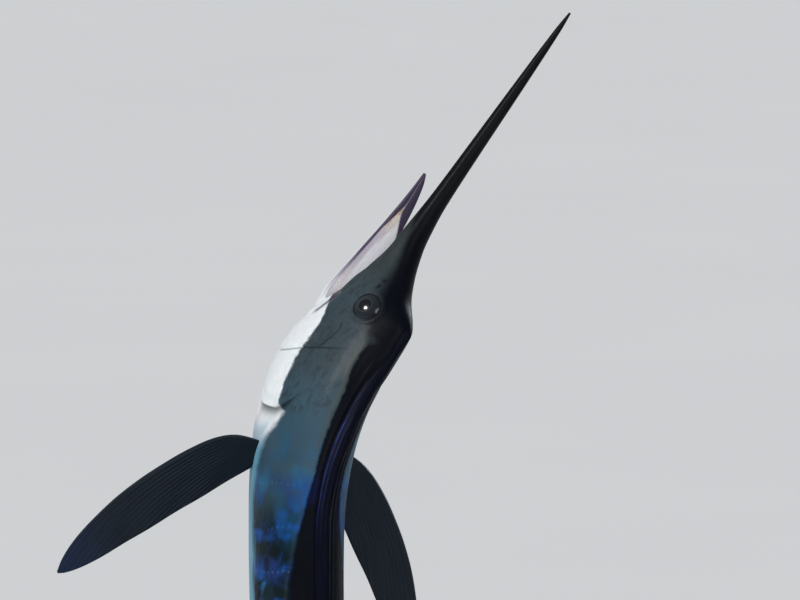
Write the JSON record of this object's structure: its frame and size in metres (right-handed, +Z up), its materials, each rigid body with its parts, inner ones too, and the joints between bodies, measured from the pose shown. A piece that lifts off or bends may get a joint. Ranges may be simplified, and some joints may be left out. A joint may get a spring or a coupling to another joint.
{
  "type": "sailfish model on a display stand",
  "caption": "Life-size still model of a leaping sailfish, head up with its jaw open and its sail folded, held by slim rods on a flat base.",
  "frame": {"origin": "middle of the base's underside", "axes": "+Z up along the model, +X to the side that the bill points to, -Y the side that the back faces"},
  "size_m": [0.86, 0.8615, 2.3194],
  "materials": {
    "bill": "near-black, satin, faintly streaked along its length",
    "jaw": "wet, dark purple-brown rim over pale flesh",
    "eye": "clear gloss over a dark pupil and a steel-blue iris",
    "skin": "wet skin, blue-black back, blue-grey flanks with pale bars, silver-white belly",
    "sail": "wet blue-black folded membrane and rays",
    "fin": "near-black membrane with raised rays",
    "tail_fin": "near-black membrane with raised rays",
    "base": "satin lacquered dark hardwood",
    "rod": "brushed"
  },
  "bodies": {
    "root": {"bill": "bill", "lower_jaw": "jaw", "eye_left": "eye", "eye_right": "eye", "head": "skin", "torso_front": "skin", "torso_middle": "skin", "torso_rear": "skin", "tail_stalk": "skin", "first_dorsal_front": "sail", "first_dorsal_rear": "sail", "second_dorsal": "fin", "first_anal": "fin", "second_anal": "fin", "pectoral_left": "fin", "pectoral_right": "fin", "pelvic_left": "fin", "pelvic_right": "fin", "caudal_upper": "tail_fin", "caudal_lower": "tail_fin", "stand_base": "base", "stand_rod_tail": "rod", "stand_rod_belly": "rod"}
  },
  "joints": []
}
